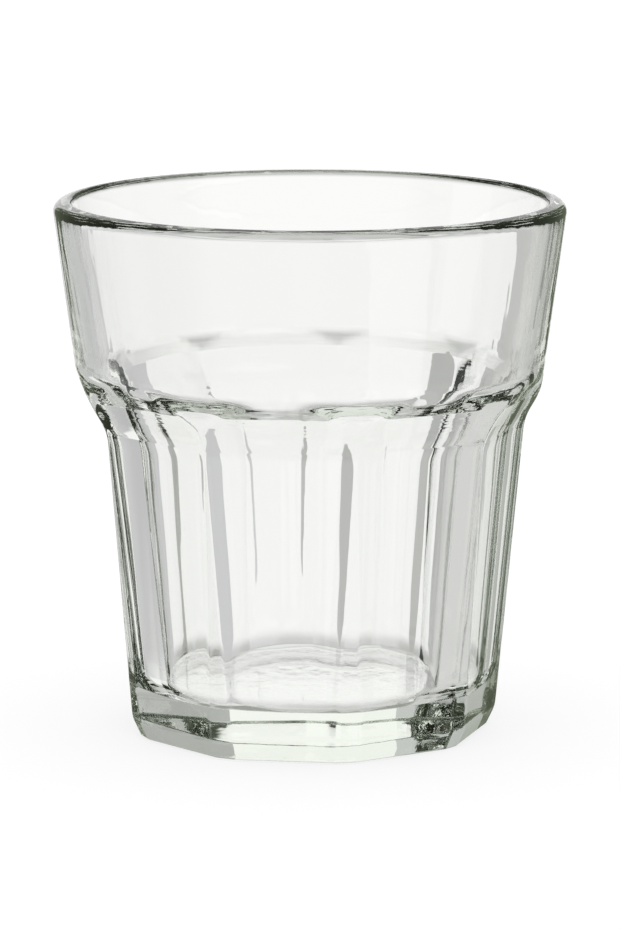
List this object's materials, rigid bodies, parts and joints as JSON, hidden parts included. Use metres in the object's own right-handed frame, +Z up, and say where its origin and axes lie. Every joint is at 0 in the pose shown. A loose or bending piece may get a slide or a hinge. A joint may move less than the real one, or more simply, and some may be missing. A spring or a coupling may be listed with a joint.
{
  "type": "espresso glass",
  "caption": "Small pressed clear-glass tumbler with a smooth flared collar, a stacking shoulder, a faceted tapering body and a thick base, for espresso and other short drinks.",
  "frame": {"origin": "centre of the foot, on the plane that the glass stands on", "axes": "+Z up along the glass's axis, +X through one of the ribs between facets"},
  "size_m": [0.064, 0.064, 0.067],
  "materials": {
    "clear_glass": "clear pressed soda-lime glass, fire-polished, faintly green where it is thick"
  },
  "bodies": {
    "root": {"tumbler": "clear_glass"}
  },
  "joints": []
}
